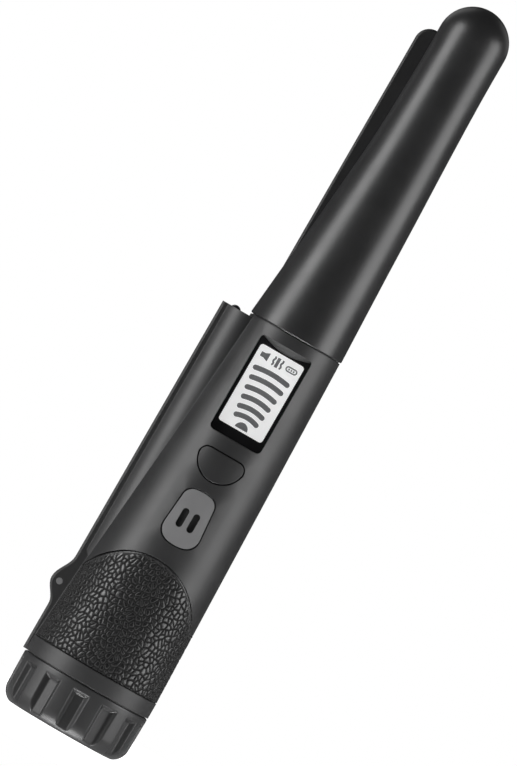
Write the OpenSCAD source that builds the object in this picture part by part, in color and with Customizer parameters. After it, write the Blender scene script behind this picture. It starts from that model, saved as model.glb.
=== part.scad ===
// Handheld pinpointer probe for metal detecting, standing upright on its battery cap.
// +Z runs along the body to the sensing tip, the display side faces -Y, and the spine with
// its lamp, lanyard lug and scraper blade is on -X. Origin: centre of the cap's flat end.

/* [Body] */
// height of the plane where the probe meets the handle
joint_z = 130.8; // [130:0.05:132]
// radius of the handle at that plane
handle_top_r = 14.69; // [14.5:0.01:14.85]
// how much the handle's radius grows per mm going down
handle_taper = 0.0484; // [0.047:0.0001:0.0495]
// sideways drift of the handle's axis per mm of height
handle_lean = 0.0202; // [0.018:0.0001:0.022]
// wall thickness of the handle and probe shells
wall = 2.2; // [2:0.05:2.4]

/* [Probe] */
// overall height of the pinpointer
overall_h = 240; // [236:0.5:244]
// radius of the domed sensing tip
tip_r = 10.5; // [10.2:0.05:10.8]
// radius of the probe where it sits on the handle
probe_base_r = 14.93; // [14.8:0.01:15.2]
// thickness of the scraper blade
blade_t = 3; // [2.4:0.1:4]

/* [Spine] */
// distance of the spine's outer edge from the cap axis
spine_x = 21.08; // [20.9:0.02:21.6]
// thickness of the spine plate
spine_t = 3.4; // [3.2:0.1:4]
// how far the lanyard lug stands out from the spine
lug_rise = 3.06; // [2.6:0.02:3.6]

/* [Display and controls] */
// width of the display opening
window_w = 16.48; // [15.5:0.02:16.6]
// height of the lit display
screen_h = 25.06; // [23:0.02:25.2]
// width of the lit display
screen_w = 14.31; // [13:0.01:14.4]
// width of the power button
button_w = 13.9; // [13.5:0.01:14.4]
// how far the power button travels inwards
button_travel = 0.5; // [0.3:0.05:0.6]

/* [Battery cap] */
// height of the battery cap
cap_h = 15.05; // [14.8:0.01:15.1]
// largest radius of the battery cap
cap_r = 20.13; // [20:0.01:20.4]
// number of finger pockets around the cap
pocket_count = 13; // [9:1:14]
// depth of the finger pockets
pocket_depth = 1.7; // [1:0.1:1.9]

/* [Grip] */
// thickness of the rubber grip
grip_t = 1.1; // [0.9:0.05:1.3]
// height of the grip's arched upper edge at its crown
grip_crown_z = 56.7; // [54:0.1:58]

/* [Hidden] */
$fn = 96;
far = 60;                        // longer than any cut has to be
black = [0.10, 0.10, 0.105];
dark = [0.06, 0.06, 0.065];
grey = [0.38, 0.38, 0.39];
steel = [0.72, 0.73, 0.75];
copper = [0.72, 0.40, 0.18];
pcb_green = [0.05, 0.28, 0.14];

// handle and the parts around its lower end
collar_z = 15.35;                // underside of the end collar, just clear of the cap
collar_top = 20.15;
collar_r = 20.17;
bare_side = 2.3;                   // half width of the bare strip that the spine stands on
seat_t = 1.5;                    // depth of the collar's seat in the handle
glue = 0.05;                     // glue line between bonded parts
front_x = 1.72;                  // every part on the front is centred on this X
neck_r = 12.4;                   // handle neck that carries the probe
neck_x = 2.5;
joint_gap = 0.3;                 // shadow line between handle and probe
step_r = 14.2;                   // ring on the handle's top that closes that line from behind
neck_top = 139;
seal_r = 0.6;                    // section of the ring that seals the neck
thread_r = 17.2;                 // bore in the handle for the cap's spigot
thread_top = 23;
chamber_r = 15.9;                // battery chamber
chamber_x = 0.3;
chamber_top = 58;

// probe
bend_z = 189;                    // height at which the probe's axis turns vertical
probe_x = 3.97;                  // axis of the upper probe
bend_r = 11.38;
tip_z = overall_h - tip_r + 0.025; // centre of the domed tip
blade_x = 11.1;                  // distance of the blade's outer edge from the cap axis
blade_top = 227.4;
blade_corner = 4.5;
blade_foot = 140;
probe_wall = 1.8;

// spine, lamp housing and lug
spine_top = joint_z - 0.9;
lug_z = 36.9;
lug_up = 8.5;                    // reach of the lug's blend above its centre
lug_down = 7;                    // and below it
pin_x = -21.5;
pin_r = 0.95;
slot_t = 1.4;                    // slot in the lug for the lanyard
spine_chamfer = 0.65;
ridge_r = 8.05;                  // the lamp's ridge is a lens: two wide arcs back to back
ridge_x = -12.15;
ridge_y = 2.2;
ridge_foot = 40;
lamp_x = -16.75;
lamp_r = 1.55;
lamp_rise = 0.85;

// display stack, measured back from the front
glass_y = -12;                   // front of the window and its bezel
glass_t = 1;
screen_z = 99.84;
window_z = 96.7;
window_ramp_z = 125.25;          // where the sloped upper wall meets the window
window_top = 127.45;
window_round = 1.4;
ramp_slope = 0.72;               // rise of the upper wall per mm outwards
pcb_y = -6.4;                    // front face of the circuit board
pcb_t = 1.6;
screw_heights = [66, 93.5];
screw_x = front_x + 7.4;

// power button
button_z = 83.4;
button_h = 8.5;
button_gap = 0.35;
button_back = -13.95;
flange_y = -12.75;
flange_t = 0.8;
plunger_r = 1.6;

// loudspeaker
plate_z0 = 62.75;
plate_z1 = 79.3;
plate_top_w = 9.45;
plate_base_w = 12.2;
plate_round = 3.2;
plate_foot_round = 4.2;
plate_gap = 0.3;
plate_t = 1;
membrane_t = 0.3;
slot_w = 2;
slot_gap = 3.56;
slot_z0 = 67.5;
slot_z1 = 73.4;

// battery cap
cap_foot_r = 17;
cap_round = 5.06;
cap_floor = 2.6;
land_r = 19.3;                   // raised ring on the cap that closes its shadow line from behind
land_z = 15.3;
spigot_r = 17.1;
spigot_wall = 1.6;
spigot_top = 22.6;
ring_z = 17.4;                   // height of the sealing ring
ring_r = 0.55;
washer_z = 2.85;
washer_t = 1.25;
boss_r = 2;

// battery, a rectangular nine volt block
battery_w = 26.5;
battery_d = 17.5;
battery_z = 6.5;
battery_body = 46.4;
terminal_h = 2.1;
terminal_x = 6.35;

function handle_x(z) = handle_lean * (z - collar_z);
function handle_r(z) = handle_top_r + handle_taper * (joint_z - z);
base_x = handle_x(joint_z);
bend_ledge = 0.05;               // keeps the two halves of the probe's surface from grazing
function lower_x(z) = base_x + (probe_x - base_x) * (z - joint_z) / (bend_z - joint_z);
function lower_r(z) = probe_base_r + (bend_r - probe_base_r) * (z - joint_z) / (bend_z - joint_z);

// points of the arc that rounds the corner b between a and c
function corner_arc(a, b, c, r, n) =
    let (u = (a - b) / norm(a - b),
        v = (c - b) / norm(c - b),
        half = acos(u * v) / 2,
        centre = b + (u + v) / norm(u + v) * r / sin(half),
        first = b + u * r / tan(half) - centre,
        turn = (u[0] * v[1] - u[1] * v[0] < 0 ? 1 : -1) * (180 - 2 * half),
        start = atan2(first[1], first[0]))
    [for (i = [0 : n]) centre + r * [cos(start + turn * i / n), sin(start + turn * i / n)]];

function round_corners(points, radii, n) =
    let (count = len(points))
    [for (i = [0 : count - 1])
        each corner_arc(points[(i + count - 1) % count], points[i], points[(i + 1) % count], radii[i], n)];

// ---- shared shapes ----

// cone whose axis runs from (x0, z0) to (x1, z1), cut level at both ends
module leaning_cone(x0, r0, x1, r1, z0, z1) {
    over = 3;
    lean = atan((x1 - x0) / (z1 - z0));
    grow = (r1 - r0) / (z1 - z0);
    intersection() {
        translate([x0 - over * tan(lean), 0, z0 - over])
            rotate([0, lean, 0])
                cylinder(h = (z1 - z0 + 2 * over) / cos(lean), r1 = r0 - grow * over, r2 = r1 + grow * over);
        translate([-far, -far, z0])
            cube([2 * far, 2 * far, z1 - z0]);
    }
}

// the handle's outer form between two heights, moved in by inset
module handle_body(inset, z0, z1) {
    leaning_cone(handle_x(z0), handle_r(z0) - inset, handle_x(z1), handle_r(z1) - inset, z0, z1);
}

// pushes a 2D shape drawn in X and Z through from y0 to y1
module push_back(y0, y1) {
    translate([0, y1, 0])
        rotate([90, 0, 0])
            linear_extrude(height = y1 - y0)
                children();
}

module rounded_rect(x0, z0, w, h, r) {
    for (x = [x0 + r, x0 + w - r], z = [z0 + r, z0 + h - r])
        translate([x, z])
            circle(r = r, $fn = 32);
    translate([x0 + r, z0])
        square([w - 2 * r, h]);
    translate([x0, z0 + r])
        square([w, h - 2 * r]);
}

module ring(r_out, r_in, z0, h) {
    difference() {
        translate([0, 0, z0])
            cylinder(h = h, r = r_out);
        translate([0, 0, z0 - 1])
            cylinder(h = h + 2, r = r_in);
    }
}

// ---- probe ----

module tip_profile(inset) {
    steps = 5;
    rise = (tip_z - bend_z) / steps;
    polygon(concat(
        [[0, bend_z]],
        [for (i = [0 : steps]) [tip_r + (bend_r - bend_ledge - tip_r) * pow(1 - i / steps, 2) - inset, bend_z + i * rise]],
        [[0, tip_z]]));
}

module probe_body(inset, z0) {
    leaning_cone(lower_x(z0), lower_r(z0) - inset, probe_x, bend_r - inset, z0, bend_z);
    translate([probe_x, 0, 0])
        rotate_extrude()
            tip_profile(inset);
    translate([probe_x, 0, tip_z])
        dome(tip_r - inset - bend_ledge / 2);
}

// half ball whose crown is levelled by a few microns
module dome(r) {
    intersection() {
        sphere(r = r);
        translate([-r, -r, -1])
            cube([2 * r, 2 * r, r + 0.995]);
    }
}

module blade_outline() {
    translate([-blade_x, blade_foot])
        square([blade_x, blade_top - blade_corner - blade_foot]);
    translate([blade_corner - blade_x, blade_foot])
        square([blade_x - blade_corner, blade_top - blade_foot]);
    translate([blade_corner - blade_x, blade_top - blade_corner])
        circle(r = blade_corner);
}

module probe_shell() {
    chamfer = 0.85;                  // side of the square bar that takes each edge off
    color(black)
        difference() {
            union() {
                probe_body(0, joint_z + joint_gap);
                difference() {
                    push_back(-blade_t / 2, blade_t / 2)
                        blade_outline();
                    for (side = [-1, 1])
                        translate([-blade_x, side * blade_t / 2, blade_top / 2])
                            rotate([0, 0, 45])
                                cube([chamfer, chamfer, blade_top], center = true);
                }
            }
            probe_body(probe_wall, neck_top - 1);
            translate([neck_x, 0, joint_z - 1])
                cylinder(h = neck_top - joint_z + 1.2, r = neck_r + glue);
        }
}

module coil_former() {
    color([0.85, 0.84, 0.80])
        difference() {
            union() {
                translate([neck_x, 0, neck_top + 0.3])
                    cylinder(h = 2, r = 11.4);
                translate([probe_x, 0, neck_top + 1])
                    cylinder(h = 86, r = 5.4);
                for (z = [170, 198, 224])
                    translate([probe_x, 0, z])
                        cylinder(h = 1.6, r = 8.2);
            }
            translate([probe_x, 0, neck_top - 1])
                cylinder(h = 92, r = 4.2);
        }
}

module ferrite_core() {
    color([0.20, 0.19, 0.19])
        translate([probe_x, 0, 166])
            cylinder(h = 60, r = 4.15);
}

module winding(z0, h) {
    color(copper)
        translate([probe_x, 0, 0])
            ring(7.2, 5.45, z0, h);
}

module transmit_coil() {
    winding(171.8, 26);
}

module receive_coil() {
    winding(199.8, 24);
}

module joint_seal() {
    color(dark)
        translate([neck_x, 0, joint_z + 4])
            rotate_extrude()
                translate([neck_r - seal_r - 0.02, 0])
                    circle(r = seal_r, $fn = 24);
}

// ---- handle ----

// outline of the lug, seen from the front, with its free edge moved in by inset
function lug_edge(inset) =
    let (steps = 8,
        above = [for (i = [0 : steps]) let (t = i / steps)
            [inset - spine_x - lug_rise * pow(sin(90 * t), 2), lug_z + lug_up * (1 - t)]],
        below = [for (i = [1 : steps]) let (t = i / steps)
            [inset - spine_x - lug_rise * pow(cos(90 * t), 2), lug_z - lug_down * t]])
    concat(above, below, [[0, lug_z - lug_down], [0, lug_z + lug_up]]);

// the lug, chamfered like the spine that it grows out of
module lug() {
    half = spine_t / 2;
    levels = [[-half, spine_chamfer], [spine_chamfer - half, 0], [half - spine_chamfer, 0], [half, spine_chamfer]];
    n = len(lug_edge(0));
    points = [for (level = levels) each [for (p = lug_edge(level[1])) [p[0], level[0], p[1]]]];
    sides = [for (l = [0 : 2], i = [0 : n - 1]) let (j = (i + 1) % n)
        [l * n + i, l * n + j, (l + 1) * n + j, (l + 1) * n + i]];
    polyhedron(points, concat([[for (i = [0 : n - 1]) n - 1 - i]], sides, [[for (i = [0 : n - 1]) 3 * n + i]]));
}

// the spine's plate with both long edges chamfered
module spine_plate() {
    difference() {
        translate([-spine_x, -spine_t / 2, collar_z])
            cube([spine_x, spine_t, spine_top - collar_z]);
        for (side = [-1, 1])
            translate([-spine_x, side * spine_t / 2, joint_z / 2])
                rotate([0, 0, 45])
                    cube([spine_chamfer * sqrt(2), spine_chamfer * sqrt(2), 2 * joint_z], center = true);
    }
    lug();
}

// the ridge that carries the lamp, a lens-shaped bar beside the handle whose foot fades into the spine
module lamp_ridge() {
    intersection() {
        ridge_arc(1);
        ridge_arc(-1);
        push_back(-far, far)
            polygon([[-spine_x, ridge_foot + 11], [ridge_x, ridge_foot], [0, ridge_foot], [0, spine_top],
                [-spine_x, spine_top]]);
    }
}

module ridge_arc(side) {
    translate([ridge_x, side * ridge_y, ridge_foot])
        cylinder(h = spine_top - ridge_foot, r = ridge_r);
}

// the arch and everything under it, seen from the front; the arch reaches lower on the spine's side
module grip_outline() {
    arch_r = 19.3;
    arch_x = -0.2;
    spine_side_z = 38;
    other_side_z = 42.3;
    translate([arch_x, grip_crown_z - arch_r])
        circle(r = arch_r);
    translate([-far / 2, collar_z - 2])
        square([far, spine_side_z - collar_z + 2]);
    translate([0, collar_z - 2])
        square([far / 2, other_side_z - collar_z + 2]);
}

// everything the grip covers, drawn back from the rigid shell by extra
module grip_zone(extra) {
    difference() {
        push_back(-far / 2, far / 2)
            translate([0, -extra])
                grip_outline();
        side_strip(extra);
    }
}

// the strip beside the spine that grip and collar leave bare
module side_strip(extra) {
    translate([-far, -bare_side - extra, 0])
        cube([far, 2 * (bare_side + extra), spine_top]);
}

module button_outline(extra) {
    r = button_w / 2 + 0.1 + extra;
    corner = 2.4 + extra;
    w = button_w + 2 * extra;
    intersection() {
        translate([front_x, button_z - extra + r])
            circle(r = r);
        rounded_rect(front_x - w / 2, button_z - 2 * extra - 2, w, button_h + 3 * extra + 2, corner);
    }
}

// loudspeaker plate: a trapezoid with round corners and slightly bowed ends
module plate_outline(extra) {
    half_top = plate_top_w / 2 + extra;
    half_base = plate_base_w / 2 + extra;
    z0 = plate_z0 - extra;
    z1 = plate_z1 + extra;
    top_bow = 0.25;
    foot_bow = 0.4;
    bow_r = 12;
    corners = [[0, z0 - foot_bow], [half_base, z0 + foot_bow], [half_top, z1 - top_bow], [0, z1 + top_bow],
        [-half_top, z1 - top_bow], [-half_base, z0 + foot_bow]];
    radii = [bow_r, plate_foot_round, plate_round, bow_r, plate_round, plate_foot_round];
    translate([front_x, 0])
        polygon(round_corners(corners, radii, 6));
}

module sound_slots(extra) {
    r = slot_w / 2 + extra;
    for (side = [-1, 1])
        translate([front_x + side * slot_gap / 2, 0]) {
            for (z = [slot_z0 + slot_w / 2, slot_z1 - slot_w / 2])
                translate([0, z])
                    circle(r = r, $fn = 32);
            translate([-r, slot_z0 + slot_w / 2])
                square([2 * r, slot_z1 - slot_z0 - slot_w]);
        }
}

module window_outline(top) {
    rounded_rect(front_x - window_w / 2, window_z, window_w, top - window_z, window_round);
}

// cone round the handle's axis whose underside is the window's sloped upper wall
module ramp_cone() {
    reach = 20;
    meet_r = -glass_y;
    translate([handle_x(window_ramp_z), 0, window_ramp_z - ramp_slope * meet_r])
        cylinder(h = ramp_slope * reach, r1 = 0, r2 = reach);
}

module window_cut() {
    difference() {
        push_back(-far, glass_y - glue)
            window_outline(window_top);
        ramp_cone();
    }
    push_back(glass_y - glue, -9)
        window_outline(window_top);
}

module inner_bosses() {
    intersection() {
        handle_body(1, 59, 130);
        union() {
            push_back(-far, -9)
                rounded_rect(front_x - 10, 94.6, 20, 34.4, 1.5);
            push_back(-far, flange_y - button_gap)
                rounded_rect(front_x - 9.6, 80.6, 19.2, 13.8, 3);
            push_back(-far, -13.9)
                rounded_rect(front_x - 7.2, 60.8, 14.4, 20, 3);
        }
    }
}

module handle_outside() {
    handle_body(0, collar_top, joint_z);
    handle_body(seat_t + glue, collar_z, collar_top + 1);
    intersection() {
        handle_body(glue, collar_z, collar_top + 1);
        side_strip(0);
    }
    spine_plate();
    lamp_ridge();
    translate([base_x, 0, joint_z - 2])
        cylinder(h = 2 + joint_gap - glue, r = step_r);
    translate([neck_x, 0, joint_z - 3])
        cylinder(h = neck_top - joint_z + 3, r = neck_r);
}

module handle_hollow() {
    translate([0, 0, collar_z - 1])
        cylinder(h = thread_top - collar_z + 1, r = thread_r);
    translate([chamber_x, 0, thread_top - 1])
        cylinder(h = chamber_top - thread_top + 1, r = chamber_r);
    handle_body(wall, chamber_top - 1, joint_z - 3);
    translate([neck_x, 0, joint_z - 4])
        cylinder(h = neck_top - joint_z + 5, r = neck_r - 1.9);
}

module handle_shell() {
    color(black)
        difference() {
            union() {
                difference() {
                    handle_outside();
                    handle_hollow();
                }
                inner_bosses();
            }
            // seat of the rubber grip
            difference() {
                intersection() {
                    grip_zone(0);
                    handle_body(-2, collar_top - 0.1, grip_crown_z + 1);
                }
                handle_body(grip_t + glue, collar_top - 1, grip_crown_z + 2);
            }
            window_cut();
            push_back(-far, flange_y)
                button_outline(button_gap);
            push_back(flange_y - button_gap, -9)
                button_outline(1.2);
            speaker_seat();
            push_back(-far, -9)
                sound_slots(0.3);
            lamp_cuts();
            lug_cuts();
            translate([neck_x, 0, joint_z + 4])
                ring(neck_r + 1, neck_r - 1.3, -0.8, 1.6);
        }
}

module speaker_seat() {
    depth = plate_t + membrane_t + 2 * glue;
    difference() {
        push_back(-far, 0)
            plate_outline(plate_gap);
        handle_body(depth, plate_z0 - 4, plate_z1 + 4);
    }
}

module lamp_cuts() {
    translate([lamp_x, 0, 112])
        cylinder(h = 20, r = lamp_r);
    translate([lamp_x, 0, 114])
        rotate([0, 90, 0])
            cylinder(h = 10, r = 1.2);
}

module lug_cuts() {
    translate([-far, -slot_t / 2, lug_z - 4])
        cube([far - 18.7, slot_t, 8]);
    translate([pin_x, far / 2, lug_z])
        rotate([90, 0, 0])
            cylinder(h = far, r = pin_r + 0.01);
}

module lanyard_pin() {
    color(grey)
        translate([pin_x, spine_t / 2, lug_z])
            rotate([90, 0, 0])
                cylinder(h = spine_t, r = pin_r);
}

module lamp_lens() {
    r = lamp_r - 0.03;
    dome_r = (r * r + lamp_rise * lamp_rise) / (2 * lamp_rise);
    color([0.05, 0.05, 0.06])
        translate([lamp_x, 0, 0]) {
            translate([0, 0, 124])
                cylinder(h = spine_top - 124, r = r);
            intersection() {
                translate([0, 0, spine_top + lamp_rise - dome_r])
                    sphere(r = dome_r);
                translate([0, 0, spine_top - 0.005])
                    cylinder(h = lamp_rise, r = r);
            }
        }
}

module lamp_leads() {
    color(steel)
        for (side = [-1, 1])
            translate([lamp_x - 0.25, side * 0.7 - 0.25, 113])
                cube([0.5, 0.5, 11]);
}

module grip_sleeve() {
    color([0.13, 0.13, 0.135])
        difference() {
            intersection() {
                grip_zone(0.1);
                handle_body(0, collar_top + glue, grip_crown_z - glue);
            }
            handle_body(grip_t, collar_top - 1, grip_crown_z + 2);
        }
}

module end_collar() {
    color(black)
        difference() {
            translate([0, 0, collar_z])
                cylinder(h = collar_top - collar_z, r = collar_r);
            handle_body(seat_t, collar_z - 1, collar_top + 1);
            side_strip(0.08);
        }
}

// ---- display ----

module window_bezel() {
    color(dark)
        difference() {
            push_back(glass_y, glass_y + 1.8)
                rounded_rect(front_x - window_w / 2 + 0.1, window_z + 0.1, window_w - 0.2,
                    window_top - window_z - 0.2, window_round - 0.1);
            push_back(glass_y - 1, glass_y + 3)
                screen_outline(0);
        }
}

module screen_outline(extra) {
    rounded_rect(front_x - screen_w / 2 - extra, screen_z - extra, screen_w + 2 * extra,
        screen_h + 2 * extra, 0.9);
}

module window_lens() {
    color([0.85, 0.88, 0.90])
        push_back(glass_y, glass_y + glass_t)
            screen_outline(-0.02);
}

module screen_panel() {
    color([0.92, 0.93, 0.92])
        push_back(glass_y + glass_t + 0.05, glass_y + glass_t + 0.75)
            screen_outline(-0.05);
}

module screen_light() {
    color([0.90, 0.90, 0.87])
        push_back(glass_y + 1.85, pcb_y - 0.02)
            rounded_rect(front_x - 8, window_z + 0.2, 16, window_ramp_z - window_z - 0.4, window_round - 0.1);
}

// ---- button ----

module power_button() {
    color(black) {
        intersection() {
            push_back(-far, button_back + 0.5)
                button_outline(0);
            handle_body(-0.2, button_z - 2, button_z + button_h + 2);
        }
        push_back(button_back, flange_y + flange_t)
            rounded_rect(front_x - 5.6, button_z + 1.8, 11.2, button_h - 3.4, 2.5);
        push_back(flange_y, flange_y + flange_t)
            button_outline(0.9);
        translate([front_x, -11.4, button_z + button_h / 2])
            rotate([90, 0, 0])
                cylinder(h = 1.35, r = 2.2);
    }
}

module switch_plunger() {
    color([0.75, 0.74, 0.70])
        translate([front_x, -9.4, button_z + button_h / 2])
            rotate([90, 0, 0])
                cylinder(h = 2, r = plunger_r);
}

module switch_body() {
    side = 6.2;
    color([0.12, 0.12, 0.13])
        difference() {
            push_back(-9.9, pcb_y - 0.02)
                rounded_rect(front_x - side / 2, button_z + button_h / 2 - side / 2, side, side, 0.6);
            translate([front_x, -8.6, button_z + button_h / 2])
                rotate([90, 0, 0])
                    cylinder(h = 3, r = plunger_r + 0.06);
        }
}

// ---- loudspeaker ----

module speaker_plate() {
    color(grey)
        difference() {
            intersection() {
                push_back(-far, 0)
                    plate_outline(0);
                handle_body(0.05, plate_z0 - 2, plate_z1 + 2);
            }
            handle_body(plate_t, plate_z0 - 4, plate_z1 + 4);
            push_back(-far, 0)
                sound_slots(0);
        }
}

module sound_membrane() {
    color(dark)
        difference() {
            intersection() {
                push_back(-far, 0)
                    rounded_rect(front_x - 4, 65.5, 8, 9.7, 1.5);
                handle_body(plate_t + glue, plate_z0 - 2, plate_z1 + 2);
            }
            handle_body(plate_t + membrane_t, plate_z0 - 4, plate_z1 + 4);
        }
}

module buzzer() {
    y = -13.6;
    color([0.14, 0.14, 0.15])
        translate([front_x, y, (slot_z0 + slot_z1) / 2])
            rotate([-90, 0, 0])
                difference() {
                    cylinder(h = 3.6, r = 6);
                    translate([0, 0, -1])
                        cylinder(h = 2.4, r = 4);
                }
}

// ---- electronics ----

module main_board() {
    color(pcb_green)
        difference() {
            push_back(pcb_y, pcb_y + pcb_t)
                rounded_rect(front_x - 9.4, 62, 18.8, 65.2, 1);
            for (z = screw_heights)
                translate([screw_x, pcb_y + 3, z])
                    rotate([90, 0, 0])
                        cylinder(h = 6, r = 1.1);
        }
}

module board_screws() {
    color(steel)
        for (z = screw_heights)
            translate([screw_x, pcb_y, z])
                rotate([-90, 0, 0]) {
                    translate([0, 0, -1.2])
                        cylinder(h = 1.2, r = 1.7);
                    translate([0, 0, -0.01])
                        cylinder(h = 5, r = 0.98);
                }
}

module control_chips() {
    color([0.09, 0.09, 0.10]) {
        for (z = [100, 113])
            push_back(pcb_y + pcb_t + 0.02, pcb_y + pcb_t + 1.4)
                rounded_rect(front_x - 3.5, z, 7, 7, 0.3);
        push_back(pcb_y + pcb_t + 0.02, pcb_y + pcb_t + 1.6)
            rounded_rect(front_x - 5, 76, 5, 4, 0.3);
    }
}

module chassis() {
    color([0.16, 0.16, 0.17])
        difference() {
            union() {
                for (z = [60, 126.2])
                    intersection() {
                        handle_body(wall + 0.1, z, z + 1.6);
                        translate([-far, pcb_y + pcb_t, z])
                            cube([2 * far, far, 1.6]);
                    }
                for (side = [-1, 1])
                    translate([front_x + side * 8 - 1.4, pcb_y + pcb_t, 60])
                        cube([2.8, 3.6, 67.8]);
                translate([front_x - 8, 0.4, 84])
                    cube([16, 1.4, 26]);
                for (side = [-1, 1])
                    translate([front_x + side * 8 - 1, -4, 84])
                        cube([2, 5.8, 26]);
            }
            for (z = screw_heights)
                translate([screw_x, 6, z])
                    rotate([90, 0, 0])
                        cylinder(h = 12, r = 1);
            translate([front_x - 5.5, -5, 125])
                cube([11, 8, 4]);
        }
}

module vibration_motor() {
    color(steel)
        translate([front_x, 6, 88])
            difference() {
                cylinder(h = 12, r = 3.5);
                translate([0, 0, 10])
                    cylinder(h = 3, r = 0.55);
            }
}

module motor_cradle() {
    color([0.16, 0.16, 0.17])
        translate([front_x, 6, 0])
            difference() {
                translate([-5, -4.18, 89])
                    cube([10, 6, 9]);
                translate([0, 0, 88])
                    cylinder(h = 12, r = 3.53);
            }
}

module motor_weight() {
    color([0.55, 0.54, 0.50])
        translate([front_x, 6, 0]) {
            translate([0, 0, 98.3])
                cylinder(h = 6.2, r = 0.5);
            difference() {
                intersection() {
                    translate([0, 0, 100.6])
                        cylinder(h = 3.6, r = 2.8);
                    translate([-4, -0.9, 100])
                        cube([8, 6, 6]);
                }
                translate([0, 0, 100])
                    cylinder(h = 6, r = 0.5);
            }
        }
}

// ---- battery and cap ----

module battery() {
    color([0.20, 0.22, 0.26])
        translate([chamber_x, 0, battery_z])
            linear_extrude(height = battery_body)
                rounded_rect(-battery_w / 2, -battery_d / 2, battery_w, battery_d, 2.5);
}

module battery_terminals() {
    color(steel)
        translate([chamber_x, 0, battery_z + battery_body]) {
            translate([-terminal_x, 0, 0])
                cylinder(h = terminal_h, r = 2.9);
            translate([terminal_x, 0, 0])
                difference() {
                    cylinder(h = terminal_h, r = 4.3);
                    translate([0, 0, 0.4])
                        cylinder(h = 3, r = 3.2);
                }
        }
}

module snap_plate() {
    color([0.16, 0.16, 0.17])
        translate([chamber_x, 0, battery_z + battery_body + terminal_h + 0.35])
            difference() {
                cylinder(h = 1.6, r = 15.6);
                for (side = [-1, 1])
                    translate([0, side * 11, -1])
                        cylinder(h = 4, r = 2);
            }
}

module snap_contacts() {
    z = battery_z + battery_body;
    color(steel)
        translate([chamber_x, 0, z]) {
            translate([-terminal_x, 0, 0])
                ring(4, 2.95, 0.3, terminal_h + 0.04);
            translate([terminal_x, 0, 0.6])
                cylinder(h = terminal_h - 0.26, r = 3.1);
        }
}

module cap_profile() {
    steps = 6;
    side_z = 4.6;
    shoulder = 0.45;
    arc_x = cap_r - 0.18 - cap_round;
    start = asin(side_z / cap_round);
    polygon(concat(
        [[0, 0], [cap_foot_r, 0]],
        [for (i = [1 : steps]) let (a = -start * (1 - i / steps))
            [arc_x + cap_round * cos(a), side_z + cap_round * sin(a)]],
        [[cap_r, cap_h - 1.6], [cap_r - 0.08, cap_h - shoulder], [cap_r - shoulder, cap_h], [0, cap_h]]));
}

// one finger pocket: a flat floor, flaring side walls and a sloping upper end
module finger_pocket() {
    half_w = 1.5;
    flare = 0.81;
    roof_z = 11.9;
    roof_slope = 0.6;
    reach = 4;
    floor_x = cap_r - pocket_depth;
    intersection() {
        translate([0, 0, -1])
            linear_extrude(height = cap_h + 1)
                polygon([[floor_x, -half_w], [floor_x + reach, -half_w - flare * reach],
                    [floor_x + reach, half_w + flare * reach], [floor_x, half_w]]);
        push_back(-far, far)
            polygon([[floor_x - 0.5, -2], [floor_x + reach, -2], [floor_x + reach, roof_z + roof_slope * reach],
                [floor_x, roof_z], [floor_x - 0.5, roof_z]]);
    }
}

module cap_shell() {
    color(black)
        difference() {
            union() {
                rotate_extrude()
                    cap_profile();
                translate([0, 0, cap_h - 1])
                    cylinder(h = land_z - cap_h + 1, r = land_r);
                translate([0, 0, cap_h - 1])
                    cylinder(h = spigot_top - cap_h + 1, r = spigot_r);
            }
            translate([0, 0, cap_floor])
                difference() {
                    cylinder(h = far, r = spigot_r - spigot_wall);
                    translate([0, 0, -1])
                        cylinder(h = 2.65, r = boss_r);
                }
            translate([0, 0, cap_floor - 1.4])
                cylinder(h = 6, r = 0.9);
            for (i = [0 : pocket_count - 1])
                rotate([0, 0, -90 + i * 360 / pocket_count])
                    finger_pocket();
            ring(spigot_r + 1, spigot_r - 2 * ring_r, ring_z - 0.7, 1.4);
        }
}

module cap_seal() {
    color(dark)
        translate([0, 0, ring_z])
            rotate_extrude()
                translate([spigot_r - ring_r + 0.05, 0])
                    circle(r = ring_r, $fn = 24);
}

module washer_screw() {
    color(steel) {
        translate([0, 0, cap_floor - 1.3])
            cylinder(h = 3.1, r = 0.88);
        translate([0, 0, cap_floor + 1.67])
            cylinder(h = 1, r = 3.2);
    }
}

module pressure_washer() {
    color([0.16, 0.16, 0.17])
        ring(14.6, boss_r + 0.08, washer_z, washer_t);
}

module foam_pad() {
    color([0.24, 0.24, 0.25])
        ring(13.2, 4.2, washer_z + washer_t, 2.1);
}

probe_shell();
coil_former();
ferrite_core();
transmit_coil();
receive_coil();
joint_seal();
handle_shell();
lanyard_pin();
lamp_lens();
lamp_leads();
grip_sleeve();
end_collar();
window_bezel();
window_lens();
screen_panel();
screen_light();
power_button();
switch_plunger();
switch_body();
speaker_plate();
sound_membrane();
buzzer();
main_board();
board_screws();
control_chips();
chassis();
vibration_motor();
motor_cradle();
motor_weight();
battery();
battery_terminals();
snap_plate();
snap_contacts();
cap_shell();
cap_seal();
washer_screw();
pressure_washer();
foam_pad();
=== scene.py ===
"""Looks of the handheld pinpointer probe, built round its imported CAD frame.

Everything is in metres in the CAD frame: +Z runs up the body, the display faces -Y and the spine is on -X.
The object's dimensions are written in millimetres and multiplied by MM where a mesh is made. The camera and
the lights are placed in metres.
"""
import math

import bpy
import numpy as np
from mathutils import Matrix, Vector


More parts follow.
